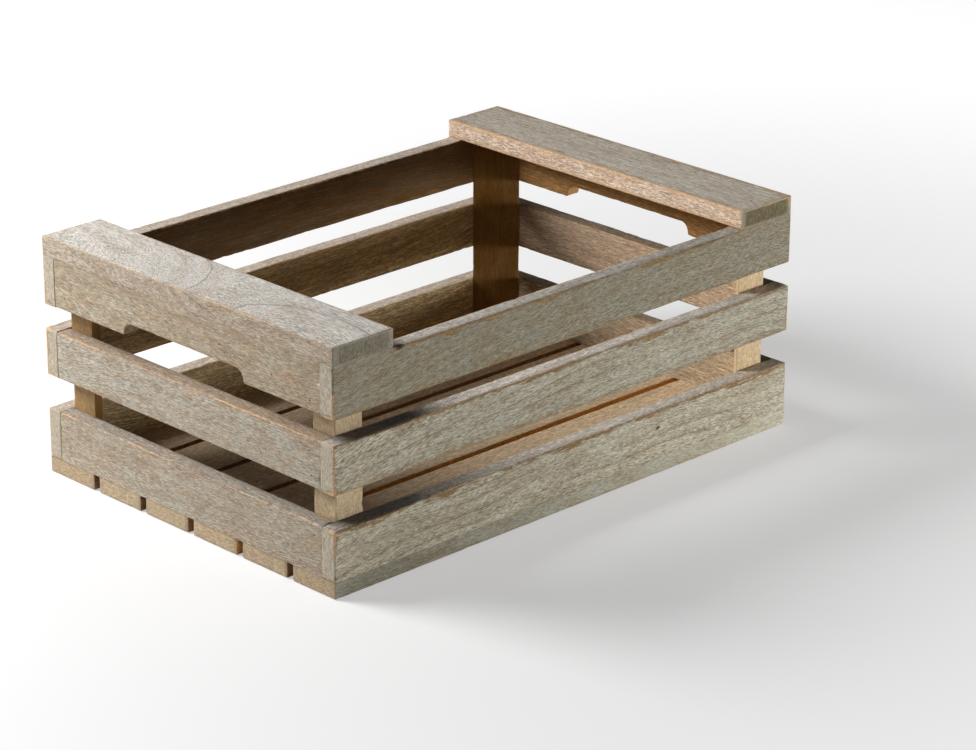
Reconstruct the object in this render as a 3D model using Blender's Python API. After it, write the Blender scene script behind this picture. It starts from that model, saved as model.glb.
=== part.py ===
# Slatted wooden crate, open at the top.
# Long slats run past the end slats at every corner. Triangular posts stand inside the corners,
# and a flat cap board closes each end over slats and posts. The upper end slats are notched as hand-holds.
# Frame: metres, +Z up, origin on the ground under the middle of the crate,
# +X along the length (right end), -Y towards the front.

import math

import bmesh
import bpy
from mathutils import Vector

# Overall size
CRATE_LENGTH = 0.375
CRATE_WIDTH = 0.2555
CRATE_HEIGHT = 0.150

# Slats of the four sides
SLAT_THICKNESS = 0.011
LOWER_SLAT_HEIGHT = 0.0311
MIDDLE_SLAT_HEIGHT = 0.0298
UPPER_SLAT_HEIGHT = 0.0305

# Of the height that the slats leave open on a side, this share lies under the middle slat
LOWER_OPEN_SHARE = 0.5785

# Floor boards. Their row sits a little towards the front, so the front board is trimmed narrower.
FLOOR_BOARD_COUNT = 6
FLOOR_THICKNESS = 0.010
FLOOR_SPACING = 0.0044
FLOOR_ROW_SHIFT = 0.0029

# Cap boards across the ends
CAP_WIDTH = 0.045
CAP_THICKNESS = 0.0117

# Triangular corner posts
POST_LEG = 0.021

# Hand-hold notch in the lower edge of each upper end slat. Its corners are hollow above and
# roll over a small lip below, and the two rounds together make up the depth.
HANDHOLD_WIDTH = 0.105
HANDHOLD_DEPTH = 0.0078
HANDHOLD_LIP_RADIUS = 0.0014

# Clearance between pieces that touch, and rounding of the sanded edges
SEAT_CLEARANCE = 0.0003
SLAT_EDGE_ROUND = 0.0010
FLOOR_EDGE_ROUND = 0.0008
CAP_EDGE_ROUND = 0.0011
POST_EDGE_ROUND = 0.0006

# Facets
EDGE_SEGMENTS = 3
CORNER_SEGMENTS = 8
SMOOTH_ANGLE = math.radians(40)
SHARP_CORNER_ANGLE = math.radians(30)

# Levels above the ground. The floor and the cap close the stack, and the slats share what is between.
LOWER_SLAT_BASE = FLOOR_THICKNESS + SEAT_CLEARANCE
CAP_BASE = CRATE_HEIGHT - CAP_THICKNESS
UPPER_SLAT_TOP = CAP_BASE - SEAT_CLEARANCE
UPPER_SLAT_BASE = UPPER_SLAT_TOP - UPPER_SLAT_HEIGHT
OPEN_HEIGHT = UPPER_SLAT_BASE - LOWER_SLAT_BASE - LOWER_SLAT_HEIGHT - MIDDLE_SLAT_HEIGHT
MIDDLE_SLAT_BASE = LOWER_SLAT_BASE + LOWER_SLAT_HEIGHT + LOWER_OPEN_SHARE * OPEN_HEIGHT

SLAT_ROWS = (
    ("lower", LOWER_SLAT_BASE, LOWER_SLAT_HEIGHT),
    ("middle", MIDDLE_SLAT_BASE, MIDDLE_SLAT_HEIGHT),
    ("upper", UPPER_SLAT_BASE, UPPER_SLAT_HEIGHT),
)
ENDS = (("left", -1), ("right", 1))
SIDES = (("front", -1), ("back", 1))

# Colours are linear RGB. Roughness is that of raw, grey-washed wood.
WOOD_TONES = {
    "long_slat": (0.33, 0.31, 0.25),
    "end_slat": (0.42, 0.35, 0.27),
    "cap": (0.44, 0.40, 0.34),
    "floor": (0.30, 0.22, 0.15),
    "post": (0.52, 0.40, 0.26),
}
WOOD_ROUGHNESS = 0.82


def clear_scene():
    for piece in list(bpy.data.objects):
        bpy.data.objects.remove(piece, do_unlink=True)


def wood_material(name, tone):
    material = bpy.data.materials.new(name)
    material.use_nodes = True
    shader = material.node_tree.nodes["Principled BSDF"]
    shader.inputs["Base Color"].default_value = (*WOOD_TONES[tone], 1)
    shader.inputs["Roughness"].default_value = WOOD_ROUGHNESS
    shader.inputs["Metallic"].default_value = 0
    return material


def prism_mesh(name, outline, depth):
    """Extrude a closed outline, drawn in local X and Y, along local +Z."""
    shape = bmesh.new()
    corners = [shape.verts.new((x, y, 0)) for x, y in outline]
    base = shape.faces.new(corners)
    lifted = bmesh.ops.extrude_face_region(shape, geom=[base])["geom"]
    top_corners = [item for item in lifted if isinstance(item, bmesh.types.BMVert)]
    bmesh.ops.translate(shape, verts=top_corners, vec=Vector((0, 0, depth)))
    bmesh.ops.recalc_face_normals(shape, faces=shape.faces)
    mesh = bpy.data.meshes.new(name)
    shape.to_mesh(mesh)
    shape.free()
    return mesh


def ease_edges(piece, width):
    """Sand every sharp edge of a piece round, but leave the facets of its curves alone."""
    bevel = piece.modifiers.new("eased_edges", "BEVEL")
    bevel.width = width
    bevel.segments = EDGE_SEGMENTS
    bevel.limit_method = "ANGLE"
    bevel.angle_limit = SHARP_CORNER_ANGLE
    bevel.miter_outer = "MITER_SHARP"


def add_piece(name, outline, depth, tone, edge_round, crate):
    mesh = prism_mesh(name, outline, depth)
    mesh.shade_smooth()
    mesh.set_sharp_from_angle(angle=SMOOTH_ANGLE)
    mesh.materials.append(wood_material(name + "_wood", tone))
    piece = bpy.data.objects.new(name, mesh)
    piece.parent = crate
    bpy.context.scene.collection.objects.link(piece)
    ease_edges(piece, edge_round)
    return piece


def rectangle(width, height):
    """Outline of a board's section, centred on X and standing on Y = 0."""
    half = width / 2
    return [(-half, 0), (half, 0), (half, height), (-half, height)]


def arc(centre_x, centre_y, radius, start_angle, end_angle):
    """Points of a round corner, both ends included."""
    step = (end_angle - start_angle) / CORNER_SEGMENTS
    angles = [start_angle + step * index for index in range(CORNER_SEGMENTS + 1)]
    return [(centre_x + radius * math.cos(a), centre_y + radius * math.sin(a)) for a in angles]


def handhold_outline(length, height):
    """Slat outline whose lower edge steps up in the middle through S-shaped corners."""
    half = length / 2
    mouth = HANDHOLD_WIDTH / 2
    lip = HANDHOLD_LIP_RADIUS
    hollow = HANDHOLD_DEPTH - lip
    lip_arc = arc(-mouth - lip, lip, lip, -math.pi / 2, 0)
    hollow_arc = arc(hollow - mouth, lip, hollow, math.pi, math.pi / 2)
    left_corner = lip_arc + hollow_arc[1:]
    right_corner = [(-x, y) for x, y in reversed(left_corner)]
    return [(-half, 0), *left_corner, *right_corner, (half, 0), (half, height), (-half, height)]


def make_floor(crate):
    """Boards side by side with even gaps, the outer two trimmed flush with the long sides."""
    half_width = CRATE_WIDTH / 2
    half_gap = FLOOR_SPACING / 2
    pitch = (CRATE_WIDTH + FLOOR_SPACING) / FLOOR_BOARD_COUNT
    first_gap = pitch - half_width - half_gap - FLOOR_ROW_SHIFT
    gaps = [first_gap + pitch * index for index in range(FLOOR_BOARD_COUNT - 1)]
    front_edges = [-half_width] + [gap + half_gap for gap in gaps]
    back_edges = [gap - half_gap for gap in gaps] + [half_width]
    for index, (front, back) in enumerate(zip(front_edges, back_edges)):
        outline = rectangle(back - front, FLOOR_THICKNESS)
        board = add_piece(f"floor_board_{index + 1}", outline, CRATE_LENGTH, "floor", FLOOR_EDGE_ROUND, crate)
        board.rotation_euler = (math.pi / 2, 0, math.pi / 2)
        board.location = (-CRATE_LENGTH / 2, (front + back) / 2, 0)


def make_long_slats(crate):
    """Front and back slats run the full length, so their end grain shows at the ends."""
    for side, sign in SIDES:
        for row, base, height in SLAT_ROWS:
            outline = rectangle(SLAT_THICKNESS, height)
            slat = add_piece(f"{side}_slat_{row}", outline, CRATE_LENGTH, "long_slat", SLAT_EDGE_ROUND, crate)
            slat.rotation_euler = (math.pi / 2, 0, math.pi / 2)
            slat.location = (-CRATE_LENGTH / 2, sign * (CRATE_WIDTH - SLAT_THICKNESS) / 2, base)


def make_end_slats(crate):
    """End slats fit between the long slats, and the upper ones carry the hand-hold notch."""
    length = CRATE_WIDTH - 2 * (SLAT_THICKNESS + SEAT_CLEARANCE)
    for end, sign in ENDS:
        for row, base, height in SLAT_ROWS:
            notched = row == "upper"
            outline = handhold_outline(length, height) if notched else rectangle(length, height)
            slat = add_piece(f"{end}_slat_{row}", outline, SLAT_THICKNESS, "end_slat", SLAT_EDGE_ROUND, crate)
            slat.rotation_euler = (math.pi / 2, 0, math.pi / 2)
            centre_x = sign * (CRATE_LENGTH - SLAT_THICKNESS) / 2
            slat.location = (centre_x - SLAT_THICKNESS / 2, 0, base)


def make_caps(crate):
    """Cap boards lie flat across the ends and overhang the posts towards the middle."""
    for end, sign in ENDS:
        outline = rectangle(CAP_WIDTH, CAP_THICKNESS)
        cap = add_piece(f"{end}_cap", outline, CRATE_WIDTH, "cap", CAP_EDGE_ROUND, crate)
        cap.rotation_euler = (math.pi / 2, 0, 0)
        cap.location = (sign * (CRATE_LENGTH - CAP_WIDTH) / 2, CRATE_WIDTH / 2, CAP_BASE)


def make_posts(crate):
    """Posts fill the inside corners from floor to cap, square corner out and slope facing the middle."""
    corner_x = CRATE_LENGTH / 2 - SLAT_THICKNESS - SEAT_CLEARANCE
    corner_y = CRATE_WIDTH / 2 - SLAT_THICKNESS - SEAT_CLEARANCE
    height = UPPER_SLAT_TOP - LOWER_SLAT_BASE
    for side, sign_y in SIDES:
        for end, sign_x in ENDS:
            corner = (sign_x * corner_x, sign_y * corner_y)
            along_x = (sign_x * (corner_x - POST_LEG), sign_y * corner_y)
            along_y = (sign_x * corner_x, sign_y * (corner_y - POST_LEG))
            outline = [corner, along_x, along_y]
            post = add_piece(f"post_{side}_{end}", outline, height, "post", POST_EDGE_ROUND, crate)
            post.location = (0, 0, LOWER_SLAT_BASE)


def build_crate():
    clear_scene()
    crate = bpy.data.objects.new("crate", None)
    bpy.context.scene.collection.objects.link(crate)
    make_floor(crate)
    make_long_slats(crate)
    make_end_slats(crate)
    make_caps(crate)
    make_posts(crate)


build_crate()
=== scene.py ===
import math
from functools import partial

import bmesh
import bpy
from mathutils import Matrix, Vector, noise
from mathutils.bvhtree import BVHTree


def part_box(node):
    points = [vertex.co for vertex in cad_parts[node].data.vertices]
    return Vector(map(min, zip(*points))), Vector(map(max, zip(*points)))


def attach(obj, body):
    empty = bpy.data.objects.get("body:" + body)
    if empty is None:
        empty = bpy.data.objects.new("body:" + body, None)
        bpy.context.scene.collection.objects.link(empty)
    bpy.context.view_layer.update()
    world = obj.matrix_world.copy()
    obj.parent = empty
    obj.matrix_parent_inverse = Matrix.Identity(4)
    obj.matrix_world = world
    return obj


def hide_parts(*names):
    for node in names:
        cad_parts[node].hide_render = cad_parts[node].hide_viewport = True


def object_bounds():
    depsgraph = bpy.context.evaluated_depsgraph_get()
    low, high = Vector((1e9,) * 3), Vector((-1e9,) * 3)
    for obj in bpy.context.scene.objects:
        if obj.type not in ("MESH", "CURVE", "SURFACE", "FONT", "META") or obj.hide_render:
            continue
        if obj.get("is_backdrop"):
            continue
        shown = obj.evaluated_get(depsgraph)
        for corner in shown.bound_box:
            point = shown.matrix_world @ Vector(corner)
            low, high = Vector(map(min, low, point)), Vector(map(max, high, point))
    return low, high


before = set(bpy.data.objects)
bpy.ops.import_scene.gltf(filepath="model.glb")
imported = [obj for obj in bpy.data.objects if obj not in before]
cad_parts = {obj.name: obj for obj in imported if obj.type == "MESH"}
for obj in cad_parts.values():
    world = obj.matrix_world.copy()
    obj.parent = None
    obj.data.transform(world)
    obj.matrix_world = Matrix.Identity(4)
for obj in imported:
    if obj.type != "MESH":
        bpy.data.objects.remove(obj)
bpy.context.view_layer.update()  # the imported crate, in metres: +X to the right end, -Y to the front, +Z up
mm = 0.001


# The camera stands off the front left corner, where the photograph was taken

cameraView = {
    "place": (-1.38626, -1.47468, 0.84114),
    "right": (0.716240, -0.697844, 0.003702),
    "up": (0.252350, 0.263941, 0.930943),
    "lens": 131.99,  # on a 36 mm wide sensor
    "sensorWidth": 36.0,
    "clipEnd": 60.0,
}


def addObject(name, data):
    thing = bpy.data.objects.new(name, data)
    bpy.context.scene.collection.objects.link(thing)
    return thing


def makeCamera(view):
    right, up = Vector(view["right"]), Vector(view["up"])
    data = bpy.data.cameras.new("photoCamera")
    data.lens = view["lens"]
    data.sensor_width = view["sensorWidth"]
    data.sensor_fit = "HORIZONTAL"
    data.clip_end = view["clipEnd"]
    camera = addObject("photoCamera", data)
    turn = Matrix((right, up, right.cross(up))).transposed().to_4x4()
    camera.matrix_world = Matrix.Translation(view["place"]) @ turn
    bpy.context.scene.camera = camera


# Node helpers: a plain value is set on a socket, another node's socket is linked to it

def setSockets(tree, node, sockets):
    for key, value in sockets.items():
        if isinstance(value, bpy.types.NodeSocket):
            tree.links.new(value, node.inputs[key])
        else:
            node.inputs[key].default_value = value


def putNode(tree, kind, sockets=None, **settings):
    node = tree.nodes.new(kind)
    for name, value in settings.items():
        setattr(node, name, value)
    setSockets(tree, node, sockets or {})
    return node


def newMaterial(name):
    material = bpy.data.materials.new(name)
    material.use_nodes = True
    return material, material.node_tree, material.node_tree.nodes["Principled BSDF"]


def calc(tree, operation, first, second=0.0, clamp=False):
    sockets = {0: first, 1: second}
    return putNode(tree, "ShaderNodeMath", sockets, operation=operation, use_clamp=clamp).outputs[0]


def vectorCalc(tree, operation, first, second):
    return putNode(tree, "ShaderNodeVectorMath", {0: first, 1: second}, operation=operation).outputs[0]


def ease(tree, value, low, high, toLow=0.0, toHigh=1.0):
    sockets = {0: value, 1: low, 2: high, 3: toLow, 4: toHigh}
    return putNode(tree, "ShaderNodeMapRange", sockets, interpolation_type="SMOOTHSTEP").outputs[0]


def blendColor(tree, factor, first, second, how="MIX"):
    sockets = {0: factor, 6: first, 7: second}
    return putNode(tree, "ShaderNodeMix", sockets, data_type="RGBA", blend_type=how).outputs[2]


def cloud(tree, vector, detail, roughness=0.5, scale=1.0):
    sockets = {"Vector": vector, "Scale": scale, "Detail": detail, "Roughness": roughness}
    return putNode(tree, "ShaderNodeTexNoise", sockets).outputs[0]


def objectPlace(tree):
    # a point's place in its own object, in millimetres
    place = putNode(tree, "ShaderNodeTexCoord").outputs["Object"]
    return vectorCalc(tree, "DIVIDE", place, (mm, mm, mm))


def stretched(tree, vector, along, across, *looks):
    # a cloud with blobs of about along x across millimetres of wood
    return cloud(tree, vectorCalc(tree, "MULTIPLY", vector, (1 / along, 1 / across, 1 / across)), *looks)


def lengthOf(tree, vector):
    return putNode(tree, "ShaderNodeVectorMath", {0: vector}, operation="LENGTH").outputs["Value"]


def sumsFor(tree):
    # short names for the sums that a node tree needs most: times, plus, less, over, eased and blend
    sums = [partial(calc, tree, operation) for operation in ("MULTIPLY", "ADD", "SUBTRACT", "DIVIDE")]
    return *sums, partial(ease, tree), partial(blendColor, tree)


def newGroup(name, inputs, outputs):
    # a node group whose inputs have names and default values, and outputs names and kinds
    group = bpy.data.node_groups.new(name, "ShaderNodeTree")
    for label, value in inputs.items():
        kind = {3: "Vector", 4: "Color"}[len(value)] if isinstance(value, tuple) else "Float"
        socket = group.interface.new_socket(name=label, in_out="INPUT", socket_type="NodeSocket" + kind)
        socket.default_value = value
    for label, kind in outputs.items():
        group.interface.new_socket(name=label, in_out="OUTPUT", socket_type="NodeSocket" + kind)
    given, result = group.nodes.new("NodeGroupInput"), group.nodes.new("NodeGroupOutput")
    return group, given.outputs, result


def useGroup(tree, group, sockets):
    return putNode(tree, "ShaderNodeGroup", sockets, node_tree=group)


# Growth rings and grain lines. Coordinates are millimetres with X along the grain. The grain leans by
# Slope and turns by Curve along a board, and the rings lie round a pith line that bulges at Bow Place.

noPlace = (0.0, 0.0, 0.0)
figureInputs = {
    "Place": noPlace, "Shift": noPlace, "Slope": 0.0, "Curve": 0.0, "Wander": 2.0, "Pith Across": 30.0,
    "Pith Below": 40.0, "Pith Drift": 0.0, "Bow": 0.0, "Bow Place": 0.0, "Bow Reach": 40.0,
    "Ring Width": 3.0, "Ring Noise": 1.0,
}


def makeFigureGroup():
    group, take, result = newGroup("woodFigure", figureInputs, {"Flow": "Vector", "Ring": "Float"})
    times, plus, less, over = sumsFor(group)[:4]
    local = vectorCalc(group, "SUBTRACT", take["Place"], take["Shift"])
    split = putNode(group, "ShaderNodeSeparateXYZ", {0: local}).outputs
    slow = stretched(group, take["Place"], 90, 60, 1.0)
    bend = times(less(slow, 0.5), take["Wander"])
    turning = times(times(split[0], 0.5), take["Curve"])
    slope = times(split[0], plus(take["Slope"], turning))
    across = plus(less(split[1], slope), bend)
    drift = times(split[0], take["Pith Drift"])
    reach = over(less(split[0], take["Bow Place"]), take["Bow Reach"])
    bow = over(take["Bow"], plus(times(reach, reach), 1.0))
    below = plus(plus(split[2], take["Pith Below"]), plus(drift, bow))
    sideways = less(across, take["Pith Across"])
    distance = calc(group, "SQRT", plus(times(sideways, sideways), times(below, below)))
    spread = times(plus(across, split[2]), 0.35)
    flow = putNode(group, "ShaderNodeCombineXYZ", {0: split[0], 1: distance, 2: spread}).outputs[0]
    flow = vectorCalc(group, "ADD", flow, take["Shift"])
    uneven = stretched(group, take["Place"], 60, 9, 2.0)
    uneven = times(less(uneven, 0.5), take["Ring Noise"])
    ring = plus(over(distance, take["Ring Width"]), uneven)
    setSockets(group, result, {"Flow": flow, "Ring": calc(group, "FRACT", ring)})
    return group


# Open pores: short dark dashes along the grain, thicker in each ring's early wood, over fine fibre lines

def makePoreGroup():
    group, take, result = newGroup("openPores", {
        "Flow": noPlace, "Ring": 0.0, "Length": 4.0, "Width": 0.4, "Amount": 0.5, "Fibre Length": 4.5,
    }, {"Dashes": "Float", "Fibre": "Float", "Glints": "Float"})
    times, plus, _, _, eased, _ = sumsFor(group)
    length, width = take["Length"], take["Width"]
    dashSize = putNode(group, "ShaderNodeCombineXYZ", {0: length, 1: width, 2: width})
    coarse = cloud(group, vectorCalc(group, "DIVIDE", take["Flow"], dashSize.outputs[0]), 1.0)
    early = eased(take["Ring"], 0.6, 0.05, -0.02, 0.035)
    reach = plus(plus(coarse, early), times(take["Amount"], 0.2))
    threads = putNode(group, "ShaderNodeCombineXYZ", {0: take["Fibre Length"], 1: 0.28, 2: 0.28}).outputs[0]
    fibre = cloud(group, vectorCalc(group, "DIVIDE", take["Flow"], threads), 2.0, 0.6)
    setSockets(group, result, {
        "Dashes": eased(reach, 0.60, 0.70), "Glints": eased(reach, 0.50, 0.40), "Fibre": fibre})
    return group


# Where sanded arrises are rubbed back to brown or to bare wood, with ragged borders

def makeRubGroup():
    group, take, result = newGroup("rubbedArris", {
        "Place": noPlace, "Arris": 10.0, "Width": 1.0, "Brown": 0.0, "Bare": 0.0, "Bias": 0.0,
    }, {"Brown": "Float", "Bare": "Float"})
    times, plus, less, over, eased = sumsFor(group)[:5]
    slow = stretched(group, take["Place"], 38, 38, 1.0)
    ragged = stretched(group, take["Place"], 11, 2.0, 3.0, 0.6)
    reach = times(times(ragged, ragged), eased(slow, 0.3, 0.7, 2.6, 8.0))
    edge = over(take["Arris"], take["Width"])
    brown = eased(less(reach, edge), -0.1, 0.8)
    brown = times(brown, take["Brown"], clamp=True)
    sparks = stretched(group, take["Place"], 5, 1.4, 3.0, 0.6)
    sparks = plus(sparks, eased(slow, 0.3, 0.7, -0.10, 0.10))
    sparks = plus(sparks, take["Bias"])
    near = plus(sparks, eased(edge, 1.5, 0.0, -0.5, 0.03))
    bare = times(eased(near, 0.43, 0.60), take["Bare"], clamp=True)
    setSockets(group, result, {"Brown": brown, "Bare": bare})
    return group


# The whole finish: raw wood, the grey wash over it, stain inside, rubbed arrises, pores, flecks, a knot, and
# painted shade and shadow.
# Its tones are linear colours, its lengths are in millimetres, and each board changes some of them.

finishInputs = {
    **figureInputs, "Arris": 10.0, "Inside": 0.0, "Sawn": 0.0, "End Grain": 0.0, "Brown": 0.0, "Bare": 0.0,
    "Rub Bias": 0.0, "Rub Width": 1.0, "Pore Length": 4.0, "Pore Width": 0.4, "Pore Amount": 0.5,
    "Pore Depth": 0.7, "Edge Pores": 0.2, "Glint": 0.3, "Fibre Length": 4.5, "Ring Strength": 0.3,
    "Ring Line": 0.0, "Line Start": 0.0, "Line Reach": 1000.0, "Line Strength": 0.6, "Inside Lines": 2.4,
    "Wash Cover": 0.75, "Warm": 0.0, "Streaks": 0.4, "Flecks": 0.5, "Fade": 0.0, "Grit": 0.2,
    "Raw Light": (0.50, 0.38, 0.22, 1), "Raw Dark": (0.22, 0.15, 0.07, 1), "Wash": (0.48, 0.445, 0.35, 1),
    "Pore": (0.13, 0.10, 0.055, 1), "Stain": (0.16, 0.083, 0.030, 1), "Sawn Tint And Shade": (0.64, 0.54, 0.46, 1),
    "End Tint": (0.46, 0.38, 0.29, 1), "Rub": (0.33, 0.20, 0.08, 1), "Bare Tint": (0.68, 0.45, 0.27, 1),
    "Warm Tint": (0.60, 0.39, 0.22, 1), "Knot And Shadow": noPlace, "Knot And Shadow Size": 0.0, "Painted Shadow": noPlace, "Painted Shadow Size": 0.0,
    "End Lines": (0.3, 0.35, 1.3),
}


def makeFinishGroup(figure, pores, rub):
    group, take, result = newGroup("weatheredWood", finishInputs,
                                   {"Color": "Color", "Roughness": "Float", "Height": "Float"})
    times, plus, less, over, eased, blend = sumsFor(group)
    grain = useGroup(group, figure, {name: take[name] for name in figureInputs})
    flow, ring = grain.outputs["Flow"], grain.outputs["Ring"]
    holes = useGroup(group, pores, {"Flow": flow, "Ring": ring, "Length": take["Pore Length"],
                                    "Width": take["Pore Width"], "Amount": take["Pore Amount"],
                                    "Fibre Length": take["Fibre Length"]})
    dashes, fibre = holes.outputs["Dashes"], holes.outputs["Fibre"]
    patches = stretched(group, flow, 26, 8, 3.0, 0.55)
    ragged = stretched(group, take["Place"], 5, 2, 3.0, 0.6)
    broad = stretched(group, flow, 70, 14, 1.0)
    onBoard = vectorCalc(group, "SUBTRACT", take["Place"], take["Shift"])
    lines = stretched(group, flow, 30, 0.65, 3.0, 0.6)
    lineTone = times(less(lines, 0.5), take["Line Strength"])
    lineTone = plus(lineTone, 1.0)

    # raw wood, darker towards each ring's late wood
    late = eased(ring, 0.35, 0.97)
    ringed = times(late, take["Ring Strength"])
    rawMix = less(eased(patches, 0.25, 0.75, 0.35, 1.0), ringed, clamp=True)
    raw = blend(rawMix, take["Raw Dark"], take["Raw Light"])

    # brown streaks where a ring line comes through the wash
    line = eased(ring, 0.80, 0.95)
    through = times(line, eased(broad, 0.44, 0.62))
    streak = times(through, take["Streaks"])

    # grey wash, thinner in streaks and in patches
    uneven = eased(plus(patches, times(fibre, 0.5)), 0.45, 0.95, -0.32, 0.25)
    cover = plus(take["Wash Cover"], uneven)
    cover = times(cover, less(1.0, streak), clamp=True)
    washTone = times(eased(fibre, 0.3, 0.7, 0.80, 1.17), lineTone)
    wash = blend(1.0, take["Wash"], washTone, "MULTIPLY")
    skin = blend(cover, raw, wash)
    warm = stretched(group, flow, 24, 3.5, 3.0, 0.65)
    warm = times(eased(warm, 0.50, 0.68), eased(fibre, 0.36, 0.60, 0.3, 1.0))

    # narrow sawn edges with the marks of the saw, and end grain, have their own tints; on a few boards the
    # sawn edge tint is darkened as painted shade
    sawn = times(take["Sawn"], eased(patches, 0.3, 0.6, 0.6, 0.97))
    marks = cloud(group, vectorCalc(group, "MULTIPLY", take["Place"], (1.1, 0.2, 0.2)), 1.0)
    sawTone = times(eased(fibre, 0.3, 0.7, 0.78, 1.22), eased(marks, 0.3, 0.7, 0.9, 1.1))
    skin = blend(sawn, skin, blend(1.0, take["Sawn Tint And Shade"], sawTone, "MULTIPLY"))
    speckle = cloud(group, vectorCalc(group, "MULTIPLY", take["Place"], take["End Lines"]), 3.0, 0.65)
    endTone = eased(speckle, 0.35, 0.65, 0.74, 1.24)
    skin = blend(times(warm, take["Warm"]), skin, take["Warm Tint"])
    skin = blend(take["End Grain"], skin, blend(1.0, take["End Tint"], endTone, "MULTIPLY"))

    # stain on the inner faces
    inner = times(take["Inside"], eased(patches, 0.2, 0.8, 1.0, 0.86))
    stainTone = times(less(lines, 0.5), take["Inside Lines"])
    stainTone = times(plus(stainTone, 1.0), eased(fibre, 0.3, 0.7, 0.7, 1.4))
    stain = blend(1.0, take["Stain"], stainTone, "MULTIPLY")
    skin = blend(inner, skin, stain)
    thin = times(eased(ring, 0.90, 0.97), eased(ring, 1.0, 0.975))
    thin = times(times(thin, take["Ring Line"]), eased(fibre, 0.25, 0.5))
    edgeCut = times(take["Sawn"], less(1.0, take["Edge Pores"]))
    planed = less(1.0, edgeCut)
    thin = times(thin, planed)
    alongGrain = less(1.0, times(take["End Grain"], 0.9))
    plainFlow = vectorCalc(group, "SUBTRACT", flow, take["Shift"])
    fromPith = putNode(group, "ShaderNodeSeparateXYZ", {0: plainFlow}).outputs[1]
    near = calc(group, "LESS_THAN", fromPith, take["Line Reach"])
    near = times(near, eased(fromPith, take["Line Start"], take["Line Reach"], 0.15))
    thin = times(times(thin, alongGrain), near)
    skin = blend(thin, skin, take["Pore"])

    # rubbed arrises
    worn = useGroup(group, rub, {"Place": take["Place"], "Arris": take["Arris"], "Width": take["Rub Width"],
                                 "Brown": take["Brown"], "Bare": take["Bare"], "Bias": take["Rub Bias"]})
    faceSide = less(1.0, times(take["Sawn"], 0.7))
    skin = blend(times(worn.outputs["Brown"], faceSide), skin, take["Rub"])

    # pores, lighter wood between them, and specks of wash
    fill = times(dashes, take["Pore Depth"])
    planed = times(planed, alongGrain)
    fill = times(fill, planed)
    skin = blend(fill, skin, take["Pore"])
    skin = blend(times(worn.outputs["Bare"], 0.9), skin, take["Bare Tint"])
    outer = less(1.0, times(take["Inside"], 0.8))
    glints = times(times(holes.outputs["Glints"], take["Glint"]), outer)
    glints = times(glints, planed)
    spots = cloud(group, vectorCalc(group, "MULTIPLY", take["Place"], (0.7, 1.4, 1.4)), 1.0)
    specks = times(eased(spots, 0.66, 0.76), times(take["Flecks"], outer))
    skin = blend(calc(group, "MAXIMUM", glints, specks), skin, (0.72, 0.68, 0.60, 1))

    def shareOf(spot, squash, size):
        # how far a place lies from a spot, as a share of the spot's size
        fromSpot = vectorCalc(group, "SUBTRACT", onBoard, spot)
        return over(lengthOf(group, vectorCalc(group, "MULTIPLY", fromSpot, squash)), plus(size, 0.001))

    # a small dark spot: a knot on the front lower slat, and painted shadow under the corner of the left cap
    # on the front upper slat
    share = shareOf(take["Knot And Shadow"], (0.55, 1.0, 1.0), take["Knot And Shadow Size"])
    knotAndShadow = eased(plus(share, times(fibre, 0.9)), 1.35, 0.75)
    skin = blend(knotAndShadow, skin, (0.05, 0.024, 0.010, 1))

    # painted shadow: a dark patch on a top edge beside a corner post, which stands in for the shade of the
    # post and the boards above
    share = shareOf(take["Painted Shadow"], (0.11, 3.0, 0.25), take["Painted Shadow Size"])
    paintedShadow = eased(plus(share, times(ragged, 0.6)), 1.6, 0.9, 1.0, 0.22)
    skin = blend(1.0, skin, paintedShadow, "MULTIPLY")

    # fine grit, and a tone that runs lighter or darker along a board; on the floor boards and the right
    # middle slat it is painted shade
    grains = cloud(group, vectorCalc(group, "MULTIPLY", take["Place"], (0.3, 2.5, 2.5)), 2.0, 0.6)
    grit = plus(take["Grit"], times(take["Sawn"], 0.16))
    gritTone = eased(grains, 0.3, 0.7, less(1.0, grit), plus(1.0, grit))
    along = putNode(group, "ShaderNodeSeparateXYZ", {0: onBoard})
    shadeAndGrit = times(times(along.outputs[0], take["Fade"]), alongGrain)
    shadeAndGrit = times(plus(shadeAndGrit, 1.0), gritTone)
    skin = blend(1.0, skin, shadeAndGrit, "MULTIPLY")

    rough = plus(eased(fibre, 0.2, 0.8, 0.70, 0.92), times(worn.outputs["Brown"], -0.16))
    relief = plus(times(fibre, 0.35), times(dashes, -0.8))
    relief = plus(relief, times(late, 0.25))
    relief = less(times(relief, alongGrain), times(knotAndShadow, 0.8))
    setSockets(group, result, {"Color": skin, "Roughness": rough, "Height": relief})
    return group


figureGroup = makeFigureGroup()
poreGroup = makePoreGroup()
rubGroup = makeRubGroup()
finishGroup = makeFinishGroup(figureGroup, poreGroup, rubGroup)
print("wood groups built")


# The finish of one board, with the masks of wear that its mesh carries

wearMasks = {"Arris": "arris", "Inside": "inside", "Sawn": "sawn", "End Grain": "endGrain",
             "Brown": "rubbedBrown", "Bare": "rubbedBare"}
surfaceRelief = {"strength": 0.5, "depth": 0.2, "specular": 0.12}


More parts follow.
